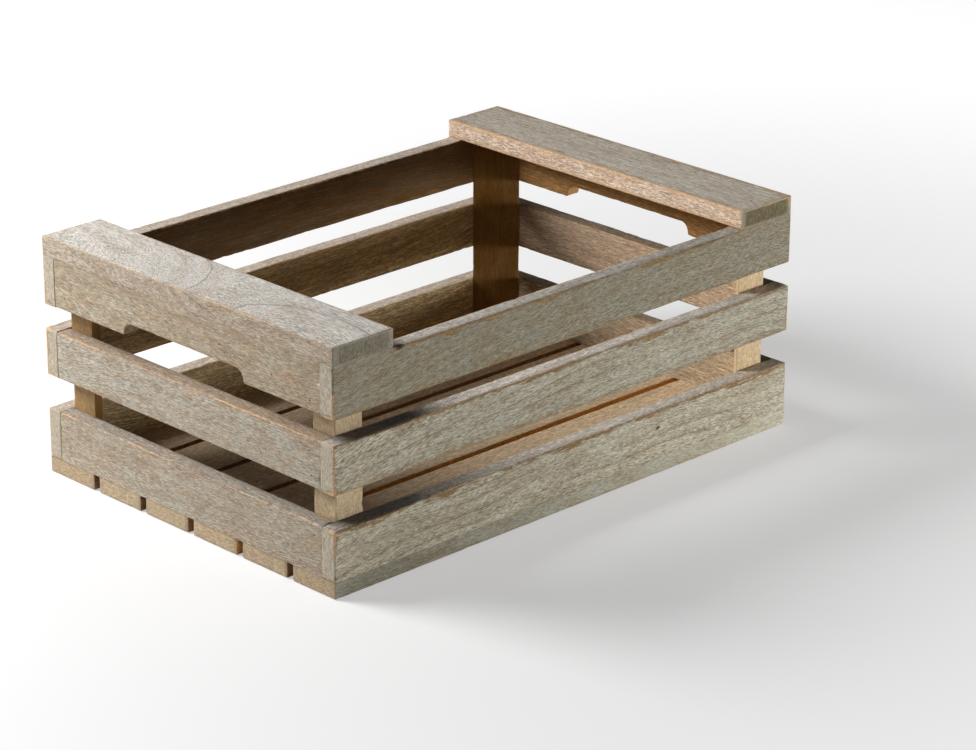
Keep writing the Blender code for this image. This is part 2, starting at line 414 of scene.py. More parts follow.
def woodMaterial(name, shift, values):
    material, tree, shader = newMaterial(name)
    masks = {label: putNode(tree, "ShaderNodeAttribute", attribute_name=attribute).outputs["Fac"]
             for label, attribute in wearMasks.items()}
    place = vectorCalc(tree, "ADD", objectPlace(tree), shift)
    finish = useGroup(tree, finishGroup, {"Place": place, "Shift": shift, **masks, **values})
    bump = putNode(tree, "ShaderNodeBump", {
        "Height": finish.outputs["Height"], "Strength": surfaceRelief["strength"],
        "Distance": surfaceRelief["depth"] * mm})
    setSockets(tree, shader, {
        "Base Color": finish.outputs["Color"], "Roughness": finish.outputs["Roughness"],
        "Normal": bump.outputs["Normal"], "Specular IOR Level": surfaceRelief["specular"]})
    return material


# Board meshes. A board's own X runs along the grain, Y across its width and Z through its thickness.
# Sides count round the section from the low edge: low edge, outer face, high edge, inner face.
# Corner n lies before side n.

boardDetail = {
    "arcSteps": 4,
    "stationGap": 3.0,
    "endSteps": 4,
    "endRings": (0.8, 0.5, 0.2),
    "smallestRound": 0.1,
    "seamRound": 0.2,
    "seamFade": 1.5,
    "ridgeSpread": (34, 2.4),
    "broadSpread": (55, 13),
    "chipSpread": (6, 3),
    "tipReach": 5.0,
    "chipReach": 1.6,
    "chipStart": 0.38,
}


def roundedLoop(corners, radii, sideSteps):
    # points round a convex section, each with its side, its nearest corner and its way to that arris
    arcSteps = boardDetail["arcSteps"]
    loop, arcs = [], []
    count = len(corners)
    for index, here in enumerate(corners):
        toBefore = (corners[index - 1] - here).normalized()
        toAfter = (corners[(index + 1) % count] - here).normalized()
        half = toBefore.angle(toAfter) / 2
        cut = radii[index] / math.tan(half)
        centre = here + (toBefore + toAfter).normalized() * radii[index] / math.sin(half)
        start, end = here + toBefore * cut - centre, here + toAfter * cut - centre
        turn = start.angle(end)
        arcs.append([centre + (start * math.sin((1 - t) * turn) + end * math.sin(t * turn)) / math.sin(turn)
                     for t in (step / arcSteps for step in range(arcSteps + 1))])
    for index, arc in enumerate(arcs):
        following = arcs[(index + 1) % count]
        sweep = (arc[-1] - arc[0]).length * 1.1
        for step, point in enumerate(arc):
            share = step / arcSteps
            loop.append((point, (index - 1 + share) % count, index, abs(share - 0.5) * sweep))
        length = (following[0] - arc[-1]).length
        for step in range(1, sideSteps[index]):
            share = step / sideSteps[index]
            nearest = index if share < 0.5 else (index + 1) % count
            loop.append((arc[-1].lerp(following[0], share), float(index), nearest,
                         min(share, 1 - share) * length + sweep / 2))
    return loop


def insetCorners(corners, insets):
    # the section's corners after each side has moved in by its own amount
    moved = []
    for index, here in enumerate(corners):
        toBefore = (corners[index - 1] - here).normalized()
        toAfter = (corners[(index + 1) % len(corners)] - here).normalized()
        lean = math.sin(toBefore.angle(toAfter))
        moved.append(here + (toBefore * insets[index] + toAfter * insets[index - 1]) / lean)
    return moved


def seamShare(start, x):
    # 1 where a side lies against another board, which is further than start from the middle, else 0
    if start is None:
        return 0.0
    share = min(1.0, max(0.0, (abs(x) - start) / boardDetail["seamFade"] + 1))
    return share * share * (3 - 2 * share)


def gentle(x, spread, seed):
    # smooth noise from 0 to 1 along a board
    return 0.5 + 0.5 * noise.noise(Vector((x / spread, seed * 7.3, seed * 1.7)))


def stationPlaces(length, endRound, extra):
    # where sections stand along a board, with how far each is drawn in to round the ends
    half = length / 2
    steps = boardDetail["endSteps"]
    places = []
    for step in range(steps + 1):
        turn = math.pi / 2 * step / steps
        places.append((endRound * (1 - math.cos(turn)) - half, endRound * (1 - math.sin(turn))))
    inner = length - 2 * endRound
    count = max(2, round(inner / boardDetail["stationGap"]))
    regular = [endRound - half + inner * index / count for index in range(1, count)]
    nearest = boardDetail["stationGap"] * 0.3
    regular = [x for x in regular if all(abs(x - other) > nearest for other in extra)]
    middle = [(x, 0.0) for x in sorted(regular + list(extra))]
    return places + middle + [(-x, inset) for x, inset in reversed(places)]


def sideValue(values, side):
    index = int(side)
    share = side - index
    return values[index] * (1 - share) + values[(index + 1) % len(values)] * share


def wornDepth(point, seed, reach, shape):
    # how far raised grain, unevenness and nicks draw the surface in, in millimetres
    x, y, z = point

    def rough(spread, alongSeed, acrossSeed):
        along, across = boardDetail[spread]
        spot = Vector((x / along + seed * alongSeed, y / across + seed * acrossSeed, z / across))
        return noise.noise(spot)

    ridge = 0.5 + 0.5 * rough("ridgeSpread", 0, 11)
    broad = 0.5 + 0.5 * rough("broadSpread", 5, 0)
    nearArris = max(0.0, 1 - reach / boardDetail["chipReach"])
    chip = max(0.0, rough("chipSpread", 0, 3) - boardDetail["chipStart"]) * nearArris
    return shape["ridge"] * ridge + shape["broad"] * broad + shape["chip"] * chip


def joinLoops(shell, first, second):
    count = len(first)
    for index in range(count):
        after = (index + 1) % count
        shell.faces.new((first[index], first[after], second[after], second[index]))


def meshFrom(shell, name):
    mesh = bpy.data.meshes.new(name)
    shell.to_mesh(mesh)
    shell.free()
    mesh.shade_smooth()
    return mesh


def boardMesh(name, length, cornersAt, shape, seed, bend=None):
    # sweep the section along the grain, close the ends with rings, then wear the surface
    stations = stationPlaces(length, shape["endRound"], shape.get("extraStations", ()))
    shell = bmesh.new()
    masks = {attribute: [] for attribute in wearMasks.values()}
    wornShares = []
    seamed = [0.0] * len(shape["seams"])

    def addPoint(place, arris, side, corner, ending, endNearest):
        exposed = 1 - max(seamed[corner - 1], seamed[corner])
        brown, bare = ("endBrown", "endBare") if endNearest else ("brown", "bare")
        masks["arris"].append(arris)
        masks["endGrain"].append(ending)
        masks["inside"].append(sideValue(shape["inside"], side) * (1 - ending))
        masks["sawn"].append(sideValue(shape["sawn"], side) * (1 - ending))
        masks["rubbedBrown"].append(shape[brown][corner] * exposed)
        masks["rubbedBare"].append(shape[bare][corner] * exposed)
        worn = shape["endWorn"] if ending > 0.5 else sideValue(shape["worn"], side)
        wornShares.append(worn * (1 - sideValue(seamed, side)))
        return shell.verts.new(place)

    def closeEnd(loop, x):
        middle = sum((vertex.co.yz for vertex in loop), Vector((0, 0))) / len(loop)
        previous = loop
        for share in boardDetail["endRings"]:
            ring = []
            for vertex, corner in zip(loop, nearestCorners):
                flat = middle.lerp(vertex.co.yz, share)
                arris = (vertex.co.yz - flat).length + 0.3
                ring.append(addPoint((x, *flat), arris, 0.0, corner, 1.0, True))
            joinLoops(shell, previous, ring)
            previous = ring
        tip = addPoint((x, *middle), boardDetail["tipReach"], 0.0, 0, 1.0, True)
        for index, vertex in enumerate(previous):
            shell.faces.new((vertex, previous[(index + 1) % len(previous)], tip))

    loops = []
    for x, inset in stations:
        corners = [Vector(corner) for corner in cornersAt(x)]
        seamed[:] = [seamShare(start, x) for start in shape["seams"]]
        radii = []
        for index, base in enumerate(shape["radii"]):
            tight = max(seamed[side] for side in (index - 1, index) if side % 2 == 0)
            radius = base * (0.7 + 0.6 * gentle(x, 14, seed + index * 3.1)) - inset
            radius = radius * (1 - tight) + boardDetail["seamRound"] * tight
            radii.append(max(boardDetail["smallestRound"], radius))
        fromEnd = length / 2 - abs(x)
        ending = inset / shape["endRound"] * 0.6
        insets = [inset * share for share in shape["endEase"]]
        section = roundedLoop(insetCorners(corners, insets), radii, shape["sideSteps"])
        loops.append([addPoint((x, *point), min(away, fromEnd), side, corner, ending, fromEnd < away)
                      for point, side, corner, away in section])
        nearestCorners = [corner for point, side, corner, away in section]
    for first, second in zip(loops, loops[1:]):
        joinLoops(shell, first, second)
    closeEnd(loops[0], stations[0][0])
    closeEnd(loops[-1], stations[-1][0])
    if bend:
        for vertex in shell.verts:
            vertex.co = bend(vertex.co)
    bmesh.ops.recalc_face_normals(shell, faces=shell.faces)
    shell.normal_update()
    for vertex, arris, wornShare in zip(shell.verts, masks["arris"], wornShares):
        vertex.co -= vertex.normal * wornDepth(vertex.co, seed, arris, shape) * wornShare
    for vertex in shell.verts:
        vertex.co *= mm
    mesh = meshFrom(shell, name)
    for attribute, values in masks.items():
        mesh.attributes.new(attribute, "FLOAT", "POINT").data.foreach_set("value", values)
    return mesh


def makeBoard(node, kind, seed, place, length, cornersAt, shape, look, bend=None):
    # a board of this kind, worn and finished, that stands for its node
    mesh = boardMesh(node + "_wood", length, cornersAt, shape, seed, bend)
    shift = [seed * factor for factor in kind["shifts"]]
    mesh.materials.append(woodMaterial(node + "_finish", shift, {**kind["look"], **look}))
    piece = addObject(node + "_wood", mesh)
    centre, axes = place
    turn = Matrix([Vector(axis) for axis in axes]).transposed().to_4x4()
    piece.matrix_world = Matrix.Translation(centre) @ turn
    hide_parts(node)
    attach(piece, "root")


def boardsOf(kind):
    # Every board of a kind: its node, its own seed, its place (middle and axes), its length, width and
    # thickness in millimetres, and what sets its grain apart. Noise, waves and grain follow the seed.
    first, step = kind["seeds"]
    for order, (node, figure) in enumerate(kind["figures"].items()):
        axes = kind["axes"][node.split("_")[0]]
        low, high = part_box(node)
        size = [abs(Vector(axis).dot(high - low)) / mm for axis in axes]
        yield node, first + order * step, ((low + high) / 2, axes), size, figure


# Boards seat against each other with hairline seams, closer than the clearance of the plain solids
seamSeat = 0.27


def boardCorners(width, thickness, waves, seed, seams=(None,) * 4, taper=0.0, length=1.0):
    # a board's section at x: each side wanders inwards by up to its wave, or seats against its neighbour
    def cornersAt(x):
        moved = []
        for side, (wave, start) in enumerate(zip(waves, seams)):
            ripple = wave * (0.75 * gentle(x, 40, seed + side) + 0.25 * gentle(x, 9, seed + side * 2.3))
            share = seamShare(start, x)
            seat = seamSeat if side % 2 == 0 else 0.0
            moved.append(ripple * (1 - share) - seat * share)
        low, high = moved[0] - width / 2, width / 2 - moved[2] - taper * (0.5 - x / length)
        front, back = thickness / 2 - moved[1] * 0.4, moved[3] * 0.4 - thickness / 2
        return [(low, back), (low, front), (high, front), (high, back)]
    return cornersAt


# Slats of the long sides: the outer face has the grey wash, the inner face is stained brown

longSlats = {
    "slot": "long_slat_wood",
    "seeds": (3.0, 5.3),
    "shifts": (131, 37, 11),
    "axes": {"front": ((1, 0, 0), (0, 0, 1), (0, -1, 0)), "back": ((-1, 0, 0), (0, 0, 1), (0, 1, 0))},
    "shape": {
        "endRound": 0.8, "endEase": (1.0, 1.0, 1.0, 0.12), "radii": (0.9, 0.8, 0.9, 0.7),
        "sideSteps": (4, 16, 4, 10), "inside": (0.6, 0.0, 0.0, 1.0), "sawn": (0.4, 0.0, 0.95, 0.0),
        "brown": (0.4, 0.5, 1.0, 0.2), "bare": (0.0, 0.0, 0.0, 0.9), "endBrown": (0.0, 0.8, 0.8, 0.0),
        "endBare": (0.0, 2.6, 2.6, 0.0), "ridge": 0.09, "broad": 0.12, "chip": 1.6,
        "worn": (1.0, 1.0, 1.0, 1.0), "endWorn": 0.7,
    },
    "waves": {
        "front_slat_lower": (0.5, 0.3, 0.3, 0.2), "front_slat_middle": (-0.5, 0.3, 0.3, 0.2),
        "front_slat_upper": (-1.4, 0.3, 0.3, 0.2), "back_slat_lower": (0.5, 0.3, 0.2, 0.2),
        "back_slat_middle": (0.3, 0.3, -0.8, 0.2), "back_slat_upper": (-1.2, 0.3, 0.1, 0.2),
    },
    "figures": {
        "front_slat_lower": {
            "Slope": 0.02, "Curve": -0.0004, "Ring Width": 5.6, "Pith Across": -34, "Pith Below": 24,
            "Fade": -0.0001, "Knot And Shadow": (72.4, 4.0, 5.5), "Knot And Shadow Size": 1.5, "Wash": (0.68, 0.635, 0.495, 1),
            # painted shadow: the dark patch at the left end of its top edge, beside the front left post
            "Sawn Tint And Shade": (0.70, 0.635, 0.56, 1), "Painted Shadow": (-150.0, 15.4, -1.0), "Painted Shadow Size": 4.0,
        },
        "front_slat_middle": {
            "Slope": 0.08, "Curve": -0.0008, "Ring Width": 5.4, "Pith Across": 36, "Pith Below": 26,
            "Fade": -0.0007, "Wash": (0.575, 0.545, 0.435, 1), "Sawn Tint And Shade": (0.88, 0.81, 0.74, 1),
            # painted shadow: the dark patch at the left end of its top edge, beside the front left post
            "Painted Shadow": (-150.0, 14.8, -1.0), "Painted Shadow Size": 4.0,
        },
        "front_slat_upper": {
            "Slope": 0.11, "Curve": -0.0006, "Ring Width": 5.2, "Pith Across": -40, "Pith Below": 28,
            "Fade": -0.0008, "Wash": (0.345, 0.325, 0.247, 1), "Sawn Tint And Shade": (0.60, 0.56, 0.51, 1),
            # painted shadow: the dark knot spot at the left end of its top edge, under the corner of the
            # left cap
            "Knot And Shadow": (-138.0, 15.0, 4.6), "Knot And Shadow Size": 3.2,
        },
        "back_slat_lower": {
            "Slope": 0.03, "Curve": 0.0005, "Ring Width": 6.0, "Pith Across": 25,
            "Stain": (0.54, 0.395, 0.20, 1),
        },
        "back_slat_middle": {
            "Slope": -0.05, "Curve": 0.0006, "Ring Width": 5.0, "Pith Across": -28,
            "Stain": (0.48, 0.32, 0.14, 1),
        },
        "back_slat_upper": {
            "Slope": 0.02, "Curve": -0.0004, "Ring Width": 6.5, "Pith Across": 35,
            "Stain": (0.137, 0.061, 0.0107, 1),
        },
    },
    "look": {
        "Pore Length": 3.4, "Pore Width": 0.24, "Pore Amount": 0.62, "Pore Depth": 0.62, "Glint": 0.28,
        "Wash Cover": 0.80, "Streaks": 0.75, "Flecks": 0.4, "Rub Width": 1.6, "Rub Bias": 0.10,
        "Wander": 5.0, "Line Strength": 0.35, "Warm": 0.12, "Grit": 0.17, "Fibre Length": 7.5,
        "Edge Pores": 0.75, "End Tint": (0.45, 0.39, 0.305, 1),
    },
}


def rowSeams(node, capStart, postStart=None):
    # the lowest row stands on the floor boards along its whole length, the highest one carries the caps,
    # and the inner faces lie flat against posts and end slats
    low = 0 if node.endswith("lower") else None
    high = capStart if node.endswith("upper") else None
    return low, None, high, postStart


def makeLongSlats():
    capStart = -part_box("left_cap")[1].x / mm
    postStart = -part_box("post_front_left")[1].x / mm
    for node, seed, place, (length, width, thickness), figure in boardsOf(longSlats):
        shape = {**longSlats["shape"], "seams": rowSeams(node, capStart, postStart)}
        corners = boardCorners(width, thickness, longSlats["waves"][node], seed, shape["seams"])
        makeBoard(node, longSlats, seed, place, length, corners, shape, figure)
    print("long slats made")


# Slats of the ends, the upper ones notched below as hand-holds

endSlats = {
    "slot": "end_slat_wood",
    "seeds": (41.0, 6.1),
    "shifts": (97, 29, 13),
    "axes": {"left": ((0, -1, 0), (0, 0, 1), (-1, 0, 0)), "right": ((0, 1, 0), (0, 0, 1), (1, 0, 0))},
    "shape": {
        "endRound": 0.15, "endEase": (1.0, 1.0, 1.0, 1.0), "radii": (0.9, 0.9, 1.25, 0.95),
        "sideSteps": (4, 16, 4, 10), "inside": (0.9, 0.0, 0.0, 1.0), "sawn": (0.1, 0.0, 0.95, 0.0),
        "brown": (0.2, 0.3, 0.5, 0.2), "bare": (0.0, 0.3, 0.7, 0.2), "endBrown": (0.0, 0.0, 0.0, 0.0),
        "endBare": (0.0, 0.0, 0.0, 0.0), "ridge": 0.08, "broad": 0.12, "chip": 1.4,
        "worn": (1.0, 1.0, 1.0, 1.0), "endWorn": 0.0,
    },
    "waves": (0.45, 0.15, 0.35, 0.3),
    "handhold": {
        "width": 105.0, "depth": 7.8, "lip": 1.4, "lean": 2.5, "arcSteps": 8, "shift": 10.0, "lead": 24.0,
    },
    "figures": {
        "left_slat_lower": {
            "Slope": 0.02, "Curve": 0.0004, "Ring Width": 5.0, "Pith Across": -40,
            "Sawn Tint And Shade": (0.36, 0.32, 0.275, 1),
        },
        "left_slat_middle": {
            "Slope": 0.03, "Curve": -0.0005, "Ring Width": 4.5, "Pith Across": 35,
            "Wash": (0.46, 0.43, 0.36, 1), "Sawn Tint And Shade": (0.385, 0.285, 0.205, 1),
        },
        "left_slat_upper": {
            "Slope": -0.05, "Curve": 0.0006, "Ring Width": 5.5, "Pith Across": -30,
            "Wash": (0.43, 0.372, 0.276, 1), "Warm": 0.6,
        },
        "right_slat_lower": {
            "Slope": 0.01, "Ring Width": 5.0, "Pith Across": 28, "Stain": (0.55, 0.42, 0.28, 1),
            # painted shade: its top edge tint is dark for the shade of the slats and cap above, and a
            # painted shadow darkens the top edge beside the front right post
            "Sawn Tint And Shade": (0.20, 0.15, 0.09, 1), "Painted Shadow": (-112.0, 15.5, -1.0), "Painted Shadow Size": 2.6,
        },
        "right_slat_middle": {
            # painted shade: the tone darkens towards the back, where the back wall shades the inner face;
            # the top edge tint is dark for the shade of the slat and cap above; a painted shadow darkens the
            # top edge beside the front right post
            "Slope": -0.02, "Ring Width": 5.0, "Pith Across": -33, "Fade": -0.003,
            "Stain": (0.46, 0.325, 0.215, 1), "Sawn Tint And Shade": (0.20, 0.14, 0.085, 1),
            "Painted Shadow": (-112.0, 14.9, -1.0), "Painted Shadow Size": 2.6,
        },
        "right_slat_upper": {
            "Slope": 0.02, "Ring Width": 4.5, "Pith Across": 38, "Stain": (0.49, 0.25, 0.075, 1),
        },
    },
    "look": {
        "Pore Length": 4.0, "Pore Width": 0.26, "Pore Amount": 0.55, "Pore Depth": 0.5, "Glint": 0.30,
        "Wash Cover": 0.70, "Streaks": 0.3, "Flecks": 0.7, "Rub Width": 1.1, "Wander": 2.5, "Grit": 0.22,
        "Line Strength": 0.7, "Warm": 0.5, "Inside Lines": 1.3, "Fibre Length": 8.0, "Edge Pores": 0.9,
        "Wash": (0.445, 0.405, 0.33, 1), "Stain": (0.25, 0.165, 0.10, 1), "Pore": (0.14, 0.10, 0.062, 1),
        "Raw Light": (0.48, 0.345, 0.225, 1), "Raw Dark": (0.26, 0.175, 0.105, 1),
        "Warm Tint": (0.53, 0.335, 0.19, 1), "Sawn Tint And Shade": (0.38, 0.30, 0.24, 1),
        "Rub": (0.40, 0.24, 0.12, 1),
    },
}


def handholdEdge(settings):
    # The notched lower edge: points with the direction into the wood, as rises above a straight edge.
    # That direction leans upwards, so that the wood doesn't fold at the small lip.
    mouth, lip = settings["width"] / 2, settings["lip"]
    hollow = settings["depth"] - lip
    steps = settings["arcSteps"]
    lean = Vector((0, settings["lean"]))
    edge = []
    for step in range(steps + 1):
        turn = -math.pi / 2 + math.pi / 2 * step / steps
        out = Vector((math.cos(turn), math.sin(turn)))
        edge.append((Vector((-mouth - lip, lip)) + out * lip, (lean - out).normalized()))
    for step in range(1, steps + 1):
        turn = math.pi - math.pi / 2 * step / steps
        out = Vector((math.cos(turn), math.sin(turn)))
        edge.append((Vector((hollow - mouth, lip)) + out * hollow, (lean + out).normalized()))
    return edge


def notchStations(edge, shift):
    # one section for each point of the notched edge, spread evenly along the grain
    first, last = edge[0][0].x - shift, edge[-1][0].x - shift
    spread = [first + (last - first) * index / (len(edge) - 1) for index in range(len(edge))]
    return spread + [-x for x in reversed(spread)]


def notchBend(edge, width, skin, settings):
    # Lifts the lower edge of a straight slat into the notch and thins the wood above it. The sections
    # come from further out by the shift, so that they lean over the notch's upright part without a fold.
    shift, lead = settings["shift"], settings["lead"]
    first, last = edge[0][0].x - shift, edge[-1][0].x - shift

    def lowSpot(x):
        if x < first:
            return Vector((x + shift * (x - first + lead) / lead, 0)), Vector((0, 1))
        if x > last:
            return Vector((x + shift * max(0, 1 - (x - last) / lead), edge[-1][0].y)), Vector((0, 1))
        place = (x - first) / (last - first) * (len(edge) - 1)
        index = min(int(place), len(edge) - 2)
        spot = edge[index][0].lerp(edge[index + 1][0], place - index)
        return spot, edge[index][1].lerp(edge[index + 1][1], place - index).normalized()

    def bend(point):
        side = -1 if point.x > 0 else 1
        x = point.x * side
        if x <= first - lead or point.y >= width / 2:
            return point
        spot, inward = lowSpot(x)
        above = point.y + width / 2
        placed = Vector((spot.x, spot.y - width / 2)) + inward * min(above, skin)
        if above > skin:
            placed = placed.lerp(Vector((x, width / 2)), (above - skin) / (width - skin))
        return Vector((placed.x * side, placed.y, point.z))
    return bend


def makeEndSlats():
    handhold = endSlats["handhold"]
    edge = handholdEdge(handhold)
    for node, seed, place, (length, width, thickness), figure in boardsOf(endSlats):
        shape = {**endSlats["shape"], "seams": rowSeams(node, 0)}
        bend = None
        if node.endswith("upper"):
            shape["extraStations"] = notchStations(edge, handhold["shift"])
            bend = notchBend(edge, width, max(shape["radii"][:2]) * 1.6 + endSlats["waves"][0], handhold)
        corners = boardCorners(width, thickness, endSlats["waves"], seed, shape["seams"])
        makeBoard(node, endSlats, seed, place, length + 2 * seamSeat, corners, shape, figure, bend)
    print("end slats made")


# Cap boards, laid flat across the ends and tapering a little towards the back

caps = {
    "slot": "cap_wood",
    "seeds": (83.0, 7.7),
    "shifts": (89, 17, 7),
    "axes": {"left": ((0, -1, 0), (1, 0, 0), (0, 0, 1)), "right": ((0, 1, 0), (-1, 0, 0), (0, 0, 1))},
    "tapers": {"left_cap": 1.0, "right_cap": -0.8},
    "sawn": {"left_cap": (0.9, 0.0, 1.0, 0.0), "right_cap": (0.2, 0.0, 1.0, 0.0)},
    "shape": {
        "endRound": 0.7, "endEase": (1.0, 1.0, 1.0, 0.3), "radii": (0.25, 0.8, 1.0, 1.0),
        "sideSteps": (5, 18, 5, 10), "seams": (None,) * 4, "inside": (0.0, 0.0, 0.0, 0.9),
        "brown": (0.0, 0.6, 0.5, 0.5), "bare": (0.0, 0.9, 0.9, 1.0), "endBrown": (0.0, 0.3, 0.3, 0.3),
        "endBare": (0.0, 0.3, 0.0, 0.0), "ridge": 0.08, "broad": 0.14, "chip": 1.8,
        "worn": (1.0, 1.0, 1.0, 0.0), "endWorn": 0.8,
    },
    "waves": {"left_cap": (0.2, 0.3, -0.6, 0.0), "right_cap": (0.2, 0.3, 0.35, 0.0)},
    "figures": {
        "left_cap": {
            "Ring Width": 10.0, "Ring Noise": 0.35, "Warm": 0.3, "Pith Across": -20, "Pith Below": 27.7,
            "Pith Drift": 0.13, "Line Start": 45.0, "Line Reach": 65.5, "Bow": 30, "Bow Place": 17,
            "Bow Reach": 40, "Wander": 2.5, "Streaks": 0.0, "Ring Line": 0.8, "Pore Length": 5.0,
            "Wash": (0.73, 0.695, 0.64, 1), "Sawn Tint And Shade": (0.355, 0.27, 0.18, 1),
            "End Tint": (0.235, 0.212, 0.148, 1),
        },
        "right_cap": {
            "Slope": 0.01, "Ring Width": 3.0, "Pith Across": 60, "Pith Below": 10, "Wander": 3.0,
            "Wash": (0.68, 0.615, 0.515, 1), "Line Strength": 1.6, "Pore Length": 4.5, "Rub Width": 2.8,
            "Rub Bias": 0.14, "Fade": -0.0012, "Sawn Tint And Shade": (0.79, 0.58, 0.43, 1),
            "End Tint": (0.138, 0.115, 0.061, 1),
        },
    },
    "look": {
        "Pore Length": 4.0, "Pore Width": 0.32, "Pore Amount": 0.5, "Pore Depth": 0.5, "Glint": 0.30,
        "Wash Cover": 0.88, "Streaks": 0.25, "Flecks": 0.5, "Rub Width": 0.9, "Pore": (0.15, 0.12, 0.09, 1),
        "Warm": 0.12, "Line Strength": 0.5, "Edge Pores": 0.8, "Fibre Length": 9.0,
        "Wash": (0.56, 0.53, 0.47, 1), "Raw Light": (0.66, 0.50, 0.36, 1),
        "Raw Dark": (0.34, 0.25, 0.17, 1), "Stain": (0.20, 0.11, 0.05, 1),
        "Sawn Tint And Shade": (0.47, 0.385, 0.295, 1), "End Tint": (0.25, 0.23, 0.17, 1),
        "End Lines": (0.3, 1.2, 0.35),
    },
}


def makeCaps():
    for node, seed, place, (length, width, thickness), figure in boardsOf(caps):
        taper = caps["tapers"][node]
        corners = boardCorners(width, thickness, caps["waves"][node], seed, taper=taper, length=length)
        shape = {**caps["shape"], "sawn": caps["sawn"][node]}
        makeBoard(node, caps, seed, place, length, corners, shape, figure)
    print("caps made")


# Floor boards: brown inside, pale sawn ends, and the outer edges washed like the slats above them

floorBoards = {
    "slot": "floor_wood",
    "seeds": (107.0, 4.9),
    "shifts": (71, 23, 9),
    "axes": {"floor": ((1, 0, 0), (0, 1, 0), (0, 0, 1))},
    "shape": {
        "endRound": 0.4, "endEase": (1.0, 0.4, 1.0, 1.0), "radii": (0.8, 0.3, 0.3, 0.8),
        "sideSteps": (4, 14, 4, 10), "seams": (None,) * 4, "inside": (0.0, 1.0, 0.0, 0.0),
        "sawn": (1.0, 0.0, 1.0, 0.0), "brown": (0.3, 0.0, 0.0, 0.3), "bare": (0.2, 0.0, 0.0, 0.2),
        "endBrown": (0.2, 0.2, 0.2, 0.2), "endBare": (0.1, 0.1, 0.1, 0.1), "ridge": 0.10, "broad": 0.12,
        "chip": 1.6, "worn": (1.0, 0.0, 1.0, 1.0), "endWorn": 0.8,
    },
    "edges": {"floor_board_1": 0, "floor_board_6": 2},  # which side of the board is the crate's outside
    "waves": (0.1, 0.0, 0.35, 0.15),
    # the orange of board 3's edges, brighter than the other boards' edges, is painted bounce light
    "paintedBounceTints": {"floor_board_3": (0.85, 0.42, 0.09, 1)},  # orange, seen under the front middle slat
    "figures": {f"floor_board_{order + 1}": {
        "Ring Width": 4.5 + order * 0.4, "Pith Across": 40 - order * 15, "Slope": 0.01 * (order - 2),
    } for order in range(6)},
    "look": {
        "Pore Length": 3.4, "Pore Width": 0.4, "Pore Amount": 0.5, "Pore Depth": 0.3, "Wash Cover": 0.75,
        # Fade darkens the boards towards the left end: painted shade, where the left end wall and cap shade
        # the floor
        "Streaks": 0.4, "Flecks": 0.3, "Rub Width": 0.9, "Wander": 6.0, "Fade": 0.0015,
        "Stain": (0.57, 0.425, 0.27, 1), "Inside Lines": 0.8, "Sawn Tint And Shade": (0.30, 0.14, 0.035, 1),
        "Grit": 0.12, "End Tint": (0.47, 0.36, 0.235, 1),
    },
    "outerLook": {"End Tint": (0.45, 0.335, 0.215, 1), "Wash": (0.47, 0.46, 0.37, 1)},
}


def makeFloor():
    for node, seed, place, (length, width, thickness), figure in boardsOf(floorBoards):
        shape, look = dict(floorBoards["shape"]), dict(figure)
        if node in floorBoards["paintedBounceTints"]:
            look["Sawn Tint And Shade"] = floorBoards["paintedBounceTints"][node]
        if node in floorBoards["edges"]:
            outer = floorBoards["edges"][node]
            for mask in ("inside", "sawn"):
                shape[mask] = [0.0 if side == outer else value for side, value in enumerate(shape[mask])]
            look.update(floorBoards["outerLook"])
        corners = boardCorners(width, thickness, floorBoards["waves"], seed)
        makeBoard(node, floorBoards, seed, place, length, corners, shape, look)
    print("floor boards made")


# Corner posts, sawn from square stock along the diagonal, so their legs differ a little

posts = {
    "slot": "post_wood",
    "seeds": (151.0, 8.3),
    "shifts": (61, 19, 5),
    "axes": {"post": ((0, 0, 1), (1, 0, 0), (0, 1, 0))},
    "legs": {
        "post_front_left": (20.9, 19.0), "post_front_right": (23.4, 22.6),
        "post_back_left": (21.5, 20.4), "post_back_right": (22.8, 21.4),
    },
    "shape": {
        "endRound": 0.2, "endEase": (1.0, 1.0, 1.0), "radii": (0.4, 0.25, 0.25), "sideSteps": (8, 14, 8),
        "seams": (None,) * 3, "inside": (0.0, 1.0, 0.0), "sawn": (0.8, 0.0, 0.8), "brown": (0.2, 0.2, 0.2),
        "bare": (0.0, 0.0, 0.0), "endBrown": (0, 0, 0), "endBare": (0, 0, 0), "ridge": 0.10, "broad": 0.12,
        "chip": 1.6, "worn": (0.5, 1.0, 0.5), "endWorn": 0.0,
    },
    "wave": 0.5,
    "look": {
        "Pore Length": 3.0, "Pore Width": 0.35, "Pore Amount": 0.4, "Pore Depth": 0.3, "Glint": 0.0,
        "Wash Cover": 0.1, "Streaks": 0.3, "Flecks": 0.1, "Rub Width": 0.8, "Ring Width": 4.0,
        "Wander": 3.0, "Raw Light": (0.62, 0.46, 0.28, 1), "Raw Dark": (0.45, 0.31, 0.17, 1), "Grit": 0.1,
        "Sawn Tint And Shade": (0.72, 0.54, 0.33, 1), "Stain": (0.18, 0.078, 0.007, 1), "Inside Lines": 1.2,
    },
    "figures": {
        "post_front_left": {"Sawn Tint And Shade": (0.74, 0.58, 0.37, 1)},
        "post_front_right": {"Sawn Tint And Shade": (0.76, 0.58, 0.35, 1), "Stain": (0.56, 0.42, 0.25, 1)},
        # painted shade: the dark tint of its outer faces, where the slats above shade them in the gaps
        "post_back_left": {"Sawn Tint And Shade": (0.36, 0.205, 0.07, 1)},
        "post_back_right": {},
    },
}


def postSigns(node):
    # which way a post lies from the crate's middle, along X and along Y
    return (1 if node.endswith("right") else -1), (1 if "back" in node else -1)


